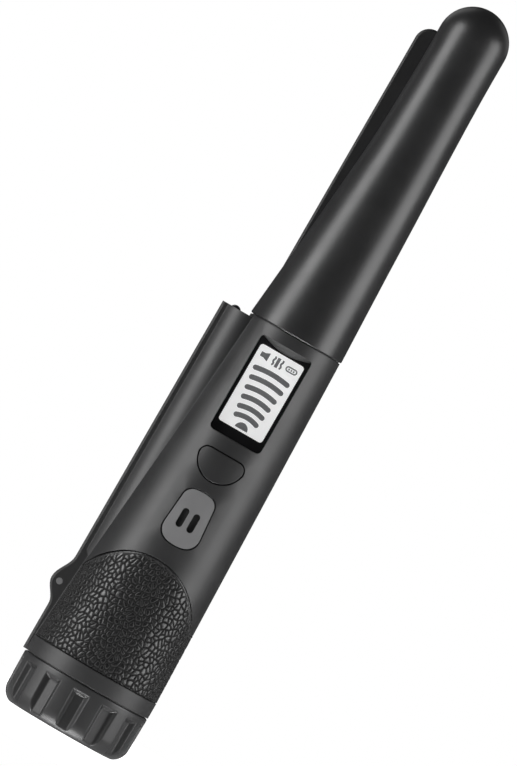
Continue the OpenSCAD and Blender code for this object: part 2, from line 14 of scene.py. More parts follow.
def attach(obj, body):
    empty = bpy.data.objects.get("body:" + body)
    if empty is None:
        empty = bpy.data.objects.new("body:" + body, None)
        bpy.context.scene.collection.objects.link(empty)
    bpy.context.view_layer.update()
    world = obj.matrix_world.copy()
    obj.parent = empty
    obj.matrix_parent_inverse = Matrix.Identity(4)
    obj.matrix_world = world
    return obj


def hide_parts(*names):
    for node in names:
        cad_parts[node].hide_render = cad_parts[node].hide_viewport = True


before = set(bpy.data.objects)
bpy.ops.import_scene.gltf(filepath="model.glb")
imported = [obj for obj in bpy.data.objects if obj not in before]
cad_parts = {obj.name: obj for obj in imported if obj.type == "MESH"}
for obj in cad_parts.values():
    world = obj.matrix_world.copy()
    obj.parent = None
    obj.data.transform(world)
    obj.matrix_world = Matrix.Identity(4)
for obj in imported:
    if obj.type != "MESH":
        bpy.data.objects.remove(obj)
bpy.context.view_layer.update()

MM = 0.001
FRONT_X = 1.72        # everything on the front is centred on this X


# ---------------------------------------------------------------- mesh helpers

def make_object(name, points, faces, smooth_angle=40):
    """A mesh object from points in millimetres, shaded smooth except at edges sharper than smooth_angle."""
    mesh = bpy.data.meshes.new(name)
    mesh.from_pydata((np.asarray(points, float) * MM).tolist(), [], [tuple(int(i) for i in f) for f in faces])
    mesh.validate()
    mesh.update()
    mesh.shade_smooth()
    mesh.set_sharp_from_angle(angle=math.radians(smooth_angle))
    ob = bpy.data.objects.new(name, mesh)
    bpy.context.scene.collection.objects.link(ob)
    return ob


def grid_faces(rows, columns, wrap):
    """Quads between rows of points that lie one after the other, closed sideways if wrap is true."""
    faces = []
    last = columns if wrap else columns - 1
    for row in range(rows - 1):
        for column in range(last):
            a = row * columns + column
            b = row * columns + (column + 1) % columns
            faces.append((a, b, b + columns, a + columns))
    return faces


def ring_faces(starts, pointed, columns):
    """Faces between rings of points that lie one after the other, all closed sideways.

    starts has the number of each ring's first point, and pointed says which rings are a single point.
    """
    faces = []
    for i in range(len(starts) - 1):
        low, high = starts[i], starts[i + 1]
        for j in range(columns):
            k = (j + 1) % columns
            if pointed[i]:
                faces.append((low, high + k, high + j))
            elif pointed[i + 1]:
                faces.append((low + j, low + k, high))
            else:
                faces.append((low + j, low + k, high + k, high + j))
    return faces


def loft(name, rings, segments):
    """A tube of circles given as (z, centre x, radius). A radius of 0 closes it to a point."""
    angles = np.linspace(0, 2 * math.pi, segments, endpoint=False)
    points, starts = [], []
    for z, centre, radius in rings:
        starts.append(len(points))
        if radius == 0:
            points.append((centre, 0, z))
        else:
            points += [(centre + radius * math.cos(a), radius * math.sin(a), z) for a in angles]
    pointed = [radius == 0 for z, centre, radius in rings]
    return make_object(name, points, ring_faces(starts, pointed, segments))


def smooth_step(low, high, value):
    """0 below low, 1 above high, and an even S-curve between."""
    t = np.clip((value - low) / (high - low), 0, 1)
    return t * t * (3 - 2 * t)


# ------------------------------------------------------------ material helpers

class Finish:
    """A Principled material whose patterns read the object's own coordinates in millimetres."""

    def __init__(self, name, colour, roughness, **sockets):
        self.material = bpy.data.materials.new(name)
        self.material.use_nodes = True
        self.nodes = self.material.node_tree.nodes
        self.links = self.material.node_tree.links
        self.shader = self.nodes["Principled BSDF"]
        self.shader.inputs["Base Color"].default_value = (*colour, 1)
        self.shader.inputs["Roughness"].default_value = roughness
        for socket, value in sockets.items():
            self.shader.inputs[socket.replace("_", " ")].default_value = value
        self.place = self.coordinates((1, 1, 1))

    def node(self, kind, **settings):
        """A new node of that kind with its settings."""
        made = self.nodes.new(kind)
        for key, value in settings.items():
            setattr(made, key, value)
        return made

    def coordinates(self, stretch):
        """Object coordinates in millimetres, squeezed along each axis by stretch."""
        source = self.node("ShaderNodeTexCoord")
        scale = self.node("ShaderNodeVectorMath", operation="MULTIPLY")
        scale.inputs[1].default_value = tuple(s / MM for s in stretch)
        self.links.new(source.outputs["Object"], scale.inputs[0])
        return scale.outputs["Vector"]

    def noise(self, size, detail=3.0, distortion=0.0, place=None):
        """Cloudy noise with blotches about size millimetres across."""
        made = self.node("ShaderNodeTexNoise")
        made.inputs["Scale"].default_value = 1 / size
        made.inputs["Detail"].default_value = detail
        made.inputs["Distortion"].default_value = distortion
        self.links.new(place or self.place, made.inputs["Vector"])
        return made.outputs["Fac"]

    def cells(self, size):
        """Distance to the nearest of many scattered points, about size millimetres apart."""
        made = self.node("ShaderNodeTexVoronoi", feature="F1")
        made.inputs["Scale"].default_value = 1 / size
        self.links.new(self.place, made.inputs["Vector"])
        return made.outputs["Distance"]

    def spread(self, value, low, high, out_low, out_high):
        """Maps low..high of a pattern onto out_low..out_high."""
        made = self.node("ShaderNodeMapRange")
        for index, number in ((1, low), (2, high), (3, out_low), (4, out_high)):
            made.inputs[index].default_value = number
        self.links.new(value, made.inputs[0])
        return made.outputs[0]

    def vary(self, noise, out_low, out_high):
        """Spreads the usual range of a noise pattern over out_low..out_high."""
        return self.spread(noise, 0.3, 0.7, out_low, out_high)

    def bricks(self, width, height, joint, offset):
        """A brick pattern on faces towards -Y, each row moved along by the share offset of a brick."""
        made = self.node("ShaderNodeTexBrick", offset=offset)
        sizes = {"Scale": 1, "Brick Width": width, "Row Height": height, "Mortar Size": joint}
        for socket, number in sizes.items():
            made.inputs[socket].default_value = number
        upright = self.node("ShaderNodeMapping")
        upright.inputs["Rotation"].default_value = (math.radians(90), 0, 0)
        self.links.new(self.place, upright.inputs["Vector"])
        self.links.new(upright.outputs["Vector"], made.inputs["Vector"])
        return made

    def maths(self, operation, a, b):
        """The named operation on two numbers or patterns."""
        made = self.node("ShaderNodeMath", operation=operation)
        for index, value in ((0, a), (1, b)):
            if isinstance(value, (int, float)):
                made.inputs[index].default_value = value
            else:
                self.links.new(value, made.inputs[index])
        return made.outputs[0]

    def mix(self, factor, colour_a, colour_b):
        """From colour_a where factor is 0 to colour_b where it is 1."""
        made = self.node("ShaderNodeMix", data_type="RGBA")
        self.links.new(factor, made.inputs["Factor"])
        for name, value in (("A", colour_a), ("B", colour_b)):
            socket = [s for s in made.inputs if s.name == name and s.type == "RGBA"][0]
            if isinstance(value, tuple):
                socket.default_value = (*value, 1)
            else:
                self.links.new(value, socket)
        return [s for s in made.outputs if s.type == "RGBA"][0]

    def rounded_edges(self, radius):
        """A normal that runs softly round every edge, radius millimetres wide."""
        made = self.node("ShaderNodeBevel", samples=6)
        made.inputs["Radius"].default_value = radius * MM
        return made.outputs["Normal"]

    def edge_mask(self, rounded):
        """1 at edges that hands and soil rub, 0 on open faces."""
        flat = self.node("ShaderNodeNewGeometry").outputs["Normal"]
        dot = self.node("ShaderNodeVectorMath", operation="DOT_PRODUCT")
        self.links.new(rounded, dot.inputs[0])
        self.links.new(flat, dot.inputs[1])
        return self.spread(dot.outputs["Value"], 0.995, 0.8, 0, 1)

    def bump(self, height, depth, normal=None):
        """Pushes the surface in and out by up to depth millimetres."""
        made = self.node("ShaderNodeBump")
        made.inputs["Strength"].default_value = 1
        made.inputs["Distance"].default_value = depth * MM
        self.links.new(height, made.inputs["Height"])
        if normal is not None:
            self.links.new(normal, made.inputs["Normal"])
        return made.outputs["Normal"]

    def set(self, socket, value):
        """Drives one of the shader's inputs with a pattern."""
        self.links.new(value, self.shader.inputs[socket])


def tinted(colour, factor):
    """The colour made lighter or darker by factor."""
    return tuple(min(1, c * factor) for c in colour)


def satin_plastic(name, colour, roughness, edge=0.25, grain=0.22, grain_depth=0.006, wear=0.5):
    """Moulded plastic: fine spark texture, faint handling marks, and edges rubbed slightly lighter."""
    f = Finish(name, colour, roughness)
    rounded = f.rounded_edges(edge)
    blotch = f.noise(9, detail=4)
    f.set("Normal", f.bump(f.noise(grain, detail=2), grain_depth, rounded))
    scuff = f.noise(0.9, detail=5, distortion=0.4, place=f.coordinates((1, 1, 0.12)))
    rough = f.maths("ADD", f.vary(blotch, roughness - 0.025, roughness + 0.025),
                    f.spread(scuff, 0.62, 0.8, 0, 0.08))
    f.set("Roughness", rough)
    rubbed = f.maths("MULTIPLY", f.edge_mask(rounded), f.spread(f.noise(1.6), 0.42, 0.62, 0, wear))
    plain = f.mix(f.vary(blotch, 0, 1), tinted(colour, 0.92), tinted(colour, 1.08))
    f.set("Base Color", f.mix(rubbed, plain, tinted(colour, 2.4)))
    return f.material


def pebbled_rubber(name, colour):
    """Leather-grained rubber: the mesh carries the pebbles, and its per-point crease mask roughens the
    creases and paints shade into them.
    """
    f = Finish(name, colour, 0.3)
    crease_and_painted_shade = f.node("ShaderNodeAttribute", attribute_name="crease_and_painted_shade").outputs["Fac"]
    fine_cells = f.maths("MULTIPLY", f.cells(0.42), 0.35)
    wrinkles = f.maths("ADD", f.noise(0.55, detail=5, distortion=0.8), fine_cells)
    f.set("Normal", f.bump(wrinkles, 0.05))
    dust = f.noise(6, detail=4)
    shine = f.maths("ADD", f.spread(dust, 0.35, 0.7, 0.21, 0.29), f.maths("MULTIPLY", crease_and_painted_shade, 0.72))
    f.set("Roughness", shine)
    worn = f.mix(f.spread(dust, 0.4, 0.7, 0, 1), tinted(colour, 0.85), tinted(colour, 1.25))
    # painted shade: the crease mask darkens the creases, and the grip's inner face, to near black
    f.set("Base Color", f.mix(crease_and_painted_shade, worn, tinted(colour, 0.12)))
    return f.material


def soft_rubber(name, colour, roughness):
    """Matt, slightly uneven rubber for the seals and the membrane."""
    f = Finish(name, colour, roughness)
    f.set("Normal", f.bump(f.noise(0.3, detail=4), 0.01, f.rounded_edges(0.1)))
    f.set("Roughness", f.vary(f.noise(2.5), roughness - 0.05, roughness + 0.07))
    f.set("Base Color", f.mix(f.noise(3), tinted(colour, 0.8), tinted(colour, 1.2)))
    return f.material


def gloss(name, colour, roughness, **sockets):
    """Polished moulding: nearly mirror smooth, with faint smears."""
    f = Finish(name, colour, roughness, **sockets)
    f.set("Normal", f.bump(f.noise(2.2, detail=2), 0.004, f.rounded_edges(0.08)))
    f.set("Roughness", f.spread(f.noise(3, detail=5, distortion=0.6), 0.35, 0.7, roughness, roughness + 0.07))
    f.set("Base Color", f.mix(f.noise(4), tinted(colour, 0.9), tinted(colour, 1.1)))
    return f.material


def metal(name, colour, roughness, lines=(1, 1, 0.05)):
    """Drawn or turned metal, with fine lines along lines' squeezed axis."""
    f = Finish(name, colour, roughness, Metallic=1.0)
    brushed = f.noise(0.12, detail=3, place=f.coordinates(lines))
    f.set("Normal", f.bump(brushed, 0.004, f.rounded_edges(0.08)))
    f.set("Roughness", f.vary(brushed, roughness - 0.06, roughness + 0.08))
    f.set("Base Color", f.mix(f.noise(2.5, detail=4), tinted(colour, 0.82), tinted(colour, 1.05)))
    return f.material


def wound_wire(name, colour, wire=0.22):
    """A coil of enamelled wire: rounded turns one wire apart up the winding, with painted shade between the
    turns.
    """
    one_per_mm = 0.314        # the wave texture's scale that gives one turn a millimetre
    f = Finish(name, colour, 0.32, Metallic=0.85, Coat_Weight=0.5, Coat_Roughness=0.12)
    wave = f.node("ShaderNodeTexWave", wave_type="BANDS", bands_direction="Z", wave_profile="SIN")
    wave.inputs["Scale"].default_value = one_per_mm / wire
    wave.inputs["Distortion"].default_value = 0.4
    f.links.new(f.place, wave.inputs["Vector"])
    f.set("Normal", f.bump(wave.outputs["Fac"], 0.08))
    # painted shade: the colour darkens to about a third in the valleys between the turns
    f.set("Base Color", f.mix(wave.outputs["Fac"], tinted(colour, 0.35), colour))
    f.set("Roughness", f.vary(f.noise(1.5), 0.26, 0.4))
    return f.material


def clear_plastic(name):
    """Clear window plastic with faint smears."""
    f = Finish(name, (0.97, 0.98, 0.98), 0.02, Transmission_Weight=1.0, IOR=1.49)
    f.set("Roughness", f.spread(f.noise(2.5, detail=5, distortion=0.5), 0.5, 0.75, 0.015, 0.05))
    return f.material


def lit_screen(name, colour, strength):
    """The backlit panel: even white, with the faint cell grid of an LCD."""
    f = Finish(name, colour, 0.5)
    grid = f.bricks(0.28, 0.28, joint=0.012, offset=0.0)
    for socket, shade in (("Color1", 1), ("Color2", 0.985), ("Mortar", 0.93)):
        grid.inputs[socket].default_value = (*tinted(colour, shade), 1)
    f.set("Base Color", grid.outputs["Color"])
    f.set("Emission Color", grid.outputs["Color"])
    f.shader.inputs["Emission Strength"].default_value = strength
    f.set("Roughness", f.vary(f.noise(0.5), 0.45, 0.6))
    f.set("Normal", f.bump(f.noise(0.1, detail=1), 0.002))
    return f.material


def speckled(name, colour, roughness, spot=0.8, depth=0.05):
    """Foam and ferrite: a body colour with specks and a matching relief."""
    f = Finish(name, colour, roughness)
    spots = f.cells(spot)
    f.set("Normal", f.bump(f.maths("ADD", spots, f.noise(spot / 2, detail=4)), depth))
    f.set("Base Color", f.mix(f.spread(spots, 0.1, 0.6, 0, 1), tinted(colour, 0.65), tinted(colour, 1.2)))
    f.set("Roughness", f.vary(f.noise(spot * 3), roughness - 0.06, roughness + 0.06))
    return f.material


def circuit_green(name, colour):
    """Solder mask over straight copper tracks."""
    f = Finish(name, colour, 0.3, Coat_Weight=0.4, Coat_Roughness=0.15)
    tracks = f.bricks(5.5, 1.3, joint=0.16, offset=0.5)
    f.set("Base Color", f.mix(tracks.outputs["Fac"], tinted(colour, 0.8), tinted(colour, 1.9)))
    f.set("Normal", f.bump(tracks.outputs["Fac"], 0.035))
    f.set("Roughness", f.vary(f.noise(2), 0.25, 0.38))
    return f.material


def battery_wrap(name, colour):
    """Printed film round the battery: a coppery lower end and a dark body."""
    copper_top = 18.0
    f = Finish(name, colour, 0.28, Coat_Weight=0.6, Coat_Roughness=0.08)
    axes = f.node("ShaderNodeSeparateXYZ")
    f.links.new(f.place, axes.inputs[0])
    low = f.spread(axes.outputs["Z"], copper_top - 0.1, copper_top + 0.1, 1, 0)
    dark = f.mix(f.noise(5), tinted(colour, 0.9), tinted(colour, 1.15))
    f.set("Base Color", f.mix(low, dark, (0.42, 0.23, 0.10)))
    f.set("Normal", f.bump(f.noise(4, detail=2, distortion=0.3), 0.03, f.rounded_edges(0.3)))
    f.set("Roughness", f.vary(f.noise(3), 0.24, 0.36))
    return f.material


def segment_ink(name, colour):
    """The grey of a switched LCD segment, with the panel's fine grain."""
    f = Finish(name, colour, 0.6)
    f.set("Base Color", f.mix(f.noise(0.12, detail=2), tinted(colour, 0.88), tinted(colour, 1.12)))
    f.set("Roughness", f.vary(f.noise(0.6), 0.5, 0.7))
    f.set("Emission Color", f.mix(f.noise(0.12, detail=2), tinted(colour, 0.9), tinted(colour, 1.1)))
    f.shader.inputs["Emission Strength"].default_value = 0.75
    f.set("Normal", f.bump(f.noise(0.1), 0.002))
    return f.material


# ------------------------------------------------------------------- materials

BLACK = (0.016, 0.016, 0.0164)
handle_black = satin_plastic("handle_black", BLACK, 0.46)
probe_black = satin_plastic("probe_black", tinted(BLACK, 1.05), 0.36, edge=0.15, grain=0.3, grain_depth=0.003)
cap_black = satin_plastic("cap_black", tinted(BLACK, 1.05), 0.39, edge=0.12)
button_black = satin_plastic("button_black", tinted(BLACK, 0.95), 0.45, edge=0.35, wear=0.3)
plate_grey = satin_plastic("plate_grey", (0.135, 0.135, 0.137), 0.6, edge=0.2, wear=0.25)
pin_grey = satin_plastic("pin_grey", (0.15, 0.15, 0.152), 0.5, edge=0.15, wear=0.3)
inner_black = satin_plastic("inner_black", (0.045, 0.045, 0.048), 0.55, edge=0.15)
natural_white = satin_plastic("natural_white", (0.68, 0.66, 0.60), 0.5, edge=0.15, wear=0.1)
grip_rubber = pebbled_rubber("grip_rubber", (0.011, 0.011, 0.0113))
seal_rubber = soft_rubber("seal_rubber", (0.012, 0.012, 0.012), 0.55)
bezel_black = gloss("bezel_black", (0.006, 0.006, 0.0065), 0.12)
lamp_black = gloss("lamp_black", (0.008, 0.008, 0.010), 0.06, Coat_Weight=0.6, Coat_Roughness=0.03)
package_black = satin_plastic("package_black", (0.018, 0.018, 0.019), 0.5, edge=0.08)
window_clear = clear_plastic("window_clear")
screen_white = lit_screen("screen_white", (0.505, 0.50, 0.50), 1.38)
mark_grey = segment_ink("mark_grey", (0.10, 0.10, 0.102))
foam_grey = speckled("foam_grey", (0.06, 0.06, 0.062), 0.85, spot=0.7, depth=0.12)
ferrite_black = speckled("ferrite_black", (0.055, 0.052, 0.050), 0.6, spot=0.35, depth=0.01)
wire_copper = wound_wire("wire_copper", (0.72, 0.34, 0.15))
plated_metal = metal("plated_metal", (0.62, 0.62, 0.63), 0.28)
sintered_metal = metal("sintered_metal", (0.34, 0.33, 0.31), 0.5, lines=(1, 1, 1))
board_green = circuit_green("board_green", (0.020, 0.130, 0.060))
wrap_film = battery_wrap("wrap_film", (0.050, 0.060, 0.085))

NODE_FINISH = {
    "handle_shell": handle_black, "end_collar": handle_black, "lanyard_pin": pin_grey,
    "lamp_lens": lamp_black, "lamp_leads": plated_metal,
    "window_bezel": bezel_black, "window_lens": window_clear,
    "screen_panel": screen_white, "screen_light": natural_white,
    "power_button": button_black, "switch_plunger": natural_white, "switch_body": package_black,
    "speaker_plate": plate_grey, "sound_membrane": seal_rubber, "buzzer": package_black,
    "main_board": board_green, "board_screws": plated_metal, "control_chips": package_black,
    "chassis": inner_black, "vibration_motor": plated_metal, "motor_cradle": inner_black,
    "motor_weight": sintered_metal, "battery": wrap_film, "battery_terminals": plated_metal,
    "snap_plate": inner_black, "snap_contacts": plated_metal,
    "coil_former": natural_white, "ferrite_core": ferrite_black,
    "transmit_coil": wire_copper, "receive_coil": wire_copper, "joint_seal": seal_rubber,
    "cap_seal": seal_rubber, "washer_screw": plated_metal,
    "pressure_washer": inner_black, "foam_pad": foam_grey,
    "probe_shell": probe_black, "grip_sleeve": grip_rubber, "cap_shell": cap_black,
}


def dress_cad_nodes():
    """Gives every CAD node its finish."""
    for name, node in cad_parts.items():
        node.data.materials.clear()
        node.data.materials.append(NODE_FINISH[name])


# ----------------------------------------------------------------------- probe

PROBE_FOOT_Z = 131.1
PROBE_WALL = 1.8
PROBE_RIM = 0.28      # chamfer round the foot, which catches the light from below
TIP_R = 10.5
TIP_Z = 229.5         # centre of the domed tip
PROBE_AXIS_X = 3.97
NECK_X = 2.5          # the bore over the handle's neck
NECK_R = 12.5
NECK_TOP = 139.3
WALL_FOOT_X = 2.6     # the outer skin's centre and radius where the thin wall starts, above the neck
WALL_FOOT_R = 14.4
# height, centre and radius of the probe's outer skin, from the joint to the start of the dome
PROBE_STATIONS = ((PROBE_FOOT_Z, 2.34, 14.92), (160, 3.15, 13.06), (180, 3.70, 11.88), (192, 3.93, 11.22),
                  (206, PROBE_AXIS_X, 10.76), (218, PROBE_AXIS_X, 10.53), (TIP_Z, PROBE_AXIS_X, TIP_R))
BLADE_X = 11.1        # distance of the blade's outer edge from the cap axis
BLADE_TOP = 227.4
BLADE_FOOT = 140
BLADE_CORNER = 4.5
BLADE_HALF_T = 1.5
BLADE_CHAMFER = 0.6


def hermite(stations, z):
    """Smooth curve through the stations' centre and radius at height z."""
    heights = np.array([s[0] for s in stations], float)
    values = np.array([s[1:] for s in stations], float)
    slopes = np.gradient(values, heights, axis=0)
    i = int(np.clip(np.searchsorted(heights, z) - 1, 0, len(heights) - 2))
    span = heights[i + 1] - heights[i]
    t = (z - heights[i]) / span
    return ((1 + 2 * t) * (1 - t) ** 2 * values[i] + t * (1 - t) ** 2 * span * slopes[i]
            + t * t * (3 - 2 * t) * values[i + 1] + t * t * (t - 1) * span * slopes[i + 1])


def make_probe():
    """The probe's shell, with a domed tip, a wall and a bore for the handle's neck."""
    outer = []
    for z in np.linspace(PROBE_FOOT_Z + PROBE_RIM, TIP_Z, 90):
        centre, radius = hermite(PROBE_STATIONS, z)
        outer.append((z, centre, radius))
    dome = [(TIP_Z + TIP_R * math.sin(a), PROBE_AXIS_X, TIP_R * math.cos(a))
            for a in np.linspace(0, math.pi / 2, 28)[1:-1]]
    foot_centre, foot_radius = hermite(PROBE_STATIONS, PROBE_FOOT_Z)
    # the ten lowest rings of the outer skin stand round the neck, where the bore is straight
    inner = [(NECK_TOP, NECK_X, NECK_R), (NECK_TOP, WALL_FOOT_X, WALL_FOOT_R - PROBE_WALL)]
    inner += [(z, c, r - PROBE_WALL) for z, c, r in outer[10:]]
    shrink = 1 - PROBE_WALL / TIP_R
    inner_dome = [(TIP_Z + (z - TIP_Z) * shrink, c, r * shrink) for z, c, r in dome]
    top = TIP_Z + TIP_R
    rings = [(top - PROBE_WALL, PROBE_AXIS_X, 0), *reversed(inner_dome), *reversed(inner),
             (PROBE_FOOT_Z, NECK_X, NECK_R), (PROBE_FOOT_Z, foot_centre, foot_radius - PROBE_RIM),
             *outer, *dome, (top, PROBE_AXIS_X, 0)]
    probe = loft("probe_skin", rings, 160)
    probe.data.materials.append(probe_black)
    return probe


def blade_outline(inset):
    """The blade's free edge from its foot up, round the corner and in to the probe, moved in by inset."""
    radius = BLADE_CORNER - inset
    corner_x, corner_z = BLADE_CORNER - BLADE_X, BLADE_TOP - BLADE_CORNER
    arc = [(corner_x - radius * math.cos(a), corner_z + radius * math.sin(a))
           for a in np.linspace(0, math.pi / 2, 24)]
    return [(inset - BLADE_X, BLADE_FOOT), *arc, (0.0, BLADE_TOP - inset)]


def make_blade():
    """The thin scraper blade along the probe's spine side, its free edge chamfered on both faces."""
    levels = [(-BLADE_HALF_T, BLADE_CHAMFER), (-BLADE_HALF_T + BLADE_CHAMFER, 0),
              (BLADE_HALF_T - BLADE_CHAMFER, 0), (BLADE_HALF_T, BLADE_CHAMFER)]
    outlines = [[(x, y, z) for x, z in blade_outline(inset) + [(0.0, BLADE_FOOT)]] for y, inset in levels]
    count = len(outlines[0])
    faces = [tuple(reversed(f)) for f in grid_faces(len(levels), count, wrap=True)]
    faces.append(tuple(range(count)))
    faces.append(tuple(reversed(range(3 * count, 4 * count))))
    blade = make_object("scraper_blade", sum(outlines, []), faces, smooth_angle=20)
    blade.data.materials.append(probe_black)
    return blade


# ------------------------------------------------------------------------ grip

GRIP_Z0 = 20.2
GRIP_ARCH_R = 19.3
GRIP_ARCH_X = -0.2
GRIP_CROWN_Z = 56.68
GRIP_SIDE_Z = 42.28          # where the arch ends on the far side
GRIP_SPINE_SIDE_Z = 37.98    # and beside the spine
GRIP_T = 1.05
GRIP_MID_Z = 30              # distances round the grip are measured at this height
ARCH_END_Z = 45              # and the arch's width at this one
GRIP_COLUMNS = 560
GRIP_ROWS = 170
BARE_SIDE = 2.4              # half width of the bare strip that the spine stands on
LIP_W = 0.8
LIP_H = 0.08
PEBBLE = 1.6                 # typical width of a pebble
PEBBLE_DEPTH = 0.28
PEBBLE_TALL = 1.08           # height of a pebble as a share of its width
PEBBLE_SEED = 7
PEBBLE_SCATTER = 0.42        # how far a pebble's middle strays, as a share of a pebble
PEBBLE_WAVE = 0.22           # how far the rows of pebbles bend, as a share of a pebble
PATTERN_START = 40           # millimetres by which the pebble pattern is moved round the grip
LATTICE = 128                # the pebble pattern repeats after this many pebbles
FAR = 1e9                    # stands for no distance found yet
TINY = 1e-6

HANDLE_FOOT_Z = 15.35
HANDLE_LEAN = 0.0202         # the handle's axis leans to +X by this share of its height
HANDLE_TOP_Z = 130.8
HANDLE_TOP_R = 14.69
HANDLE_TAPER = 0.0484


def handle_axis(z):
    """X of the handle's axis at height z."""
    return HANDLE_LEAN * (z - HANDLE_FOOT_Z)


def handle_radius(z):
    """Radius of the handle's outside at height z."""
    return HANDLE_TOP_R + HANDLE_TAPER * (HANDLE_TOP_Z - z)


def pebble_edges(across, up):
    """The distance in millimetres to the nearest crease of an irregular pattern, and each pebble's slant."""
    rng = np.random.RandomState(PEBBLE_SEED)
    lattice = rng.uniform(-PEBBLE_SCATTER, PEBBLE_SCATTER, (LATTICE, LATTICE, 2))
    warp_x = across / PEBBLE + PEBBLE_WAVE * np.sin(up * 0.9 + 0.7 * np.sin(across * 0.5))
    warp_y = up / (PEBBLE * PEBBLE_TALL) + PEBBLE_WAVE * np.sin(across * 1.1 + 0.8 * np.sin(up * 0.6))
    cell_x, cell_y = np.floor(warp_x).astype(int), np.floor(warp_y).astype(int)
    # each point belongs to the pebble whose middle is nearest
    near = np.full(across.shape, FAR)
    near_point = np.zeros(across.shape + (2,))
    neighbours = [(i, j) for i in range(-2, 3) for j in range(-2, 3)]
    seeds = []
    for i, j in neighbours:
        shift = lattice[(cell_x + i) % LATTICE, (cell_y + j) % LATTICE]
        seed = np.stack([cell_x + i + 0.5 + shift[..., 0], cell_y + j + 0.5 + shift[..., 1]], -1)
        seeds.append(seed)
        distance = (seed[..., 0] - warp_x) ** 2 + (seed[..., 1] - warp_y) ** 2
        closer = distance < near
        near = np.where(closer, distance, near)
        near_point = np.where(closer[..., None], seed, near_point)
    # every pebble slants its own way, by two scrambled sines of its middle
    here = np.stack([warp_x, warp_y], -1)
    lean_x = np.sin(12.9 * near_point[..., 0] + 78.2 * near_point[..., 1])
    lean_y = np.sin(39.3 * near_point[..., 0] + 11.1 * near_point[..., 1])
    lean = ((here - near_point) * np.stack([lean_x, lean_y], -1)).sum(-1)
    # creases run half way between neighbouring middles
    edge = np.full(across.shape, FAR)
    for seed in seeds:
        apart = seed - near_point
        length = np.linalg.norm(apart, axis=-1)
        middle = (seed + near_point) / 2
        away = ((middle - here) * apart).sum(-1) / np.maximum(length, TINY)
        away = np.where(length > TINY, away, FAR)
        edge = np.minimum(edge, away)
    return edge * PEBBLE, lean


def arch_height(theta):
    """Height of the grip's upper edge: an arch in front and behind, level beyond its ends."""
    x = handle_axis(ARCH_END_Z) + handle_radius(ARCH_END_Z) * np.cos(theta)
    inside = np.clip(GRIP_ARCH_R ** 2 - (x - GRIP_ARCH_X) ** 2, 0, None)
    arch = GRIP_CROWN_Z - GRIP_ARCH_R + np.sqrt(inside)
    return np.maximum(arch, np.where(x > 0, GRIP_SIDE_Z, GRIP_SPINE_SIDE_Z))


def grip_relief(across, z, to_top, to_rim):
    """The skin's height above the handle's cone, and from 0 to 1 how far in a crease each point lies."""
    edge, lean = pebble_edges(across + PATTERN_START, z)
    # pebbles have steep sides and a nearly flat top; field is 0 on the lip and 1 on the pebbles
    dome = smooth_step(0, 0.28, edge) * 0.88 + smooth_step(0.1, 0.8, edge) * 0.12 + 0.24 * lean
    field = smooth_step(LIP_W * 0.9, LIP_W * 1.6, to_top)
    lip = np.exp(-((to_top - LIP_W * 0.5) / (LIP_W * 0.36)) ** 2)
    height = (dome - 1) * PEBBLE_DEPTH * field + LIP_H * lip * (1 - field) - LIP_H * (1 - lip) * (1 - field)
    # the free edges turn down to the handle
    height -= 0.35 * (1 - smooth_step(0, 0.35, to_rim))
    height -= 0.1 * (1 - smooth_step(0, 0.15, to_top))
    return height, (1 - smooth_step(0.14, 0.36, edge)) * field


def wrapped(theta, z, radius):
    """Points at those angles and heights, radius away from the handle's leaning axis."""
    x = handle_axis(z) + radius * np.cos(theta)[None, :]
    y = radius * np.sin(theta)[None, :]
    return np.stack([x, y, z], -1).reshape(-1, 3)


def sheet_faces(rows, columns):
    """Faces of a sheet with thickness: a grid, the same grid behind it, and the four edges between."""
    count = rows * columns
    faces = grid_faces(rows, columns, wrap=False)
    faces += [tuple(count + i for i in reversed(f)) for f in faces]
    foot = range(columns)
    right = range(columns - 1, count, columns)
    top = range(count - 1, count - columns - 1, -1)
    left = range(count - columns, -1, -columns)
    for edge in (foot, right, top, left):
        for a, b in zip(edge[:-1], edge[1:]):
            faces.append((b, a, a + count, b + count))
    return faces


def make_grip():
    """The rubber grip: a pebbled skin under an arch, with a smooth raised lip along the arch."""
    radius = handle_radius(GRIP_MID_Z)
    start = math.asin(BARE_SIDE / radius)
    # angle 0 is +X, and the two ends meet at the spine
    theta = np.linspace(-math.pi + start, math.pi - start, GRIP_COLUMNS)
    top = arch_height(theta)
    across = theta * radius
    slope = np.gradient(top, across)
    z = GRIP_Z0 + np.linspace(0, 1, GRIP_ROWS)[:, None] * (top[None, :] - GRIP_Z0)
    to_top = (top[None, :] - z) / np.sqrt(1 + slope[None, :] ** 2)
    to_side = (math.pi - start - np.abs(theta))[None, :] * radius
    height, crease = grip_relief(across[None, :] + 0 * z, z, to_top, np.minimum(z - GRIP_Z0, to_side))

    outer = wrapped(theta, z, handle_radius(z) + height)
    inner = wrapped(theta, z, handle_radius(z) - GRIP_T)
    faces = sheet_faces(GRIP_ROWS, GRIP_COLUMNS)
    grip = make_object("grip_skin", np.concatenate([outer, inner]), faces, smooth_angle=60)
    crease_and_painted_shade = grip.data.attributes.new("crease_and_painted_shade", "FLOAT", "POINT")
    # the crease mask, with which the material paints shade; the grip's inner face gets full painted shade
    shade = np.concatenate([crease.reshape(-1), np.ones(len(inner))])
    crease_and_painted_shade.data.foreach_set("value", shade.astype(np.float32))
    grip.data.materials.append(grip_rubber)
    return grip


# ------------------------------------------------------------------------- cap

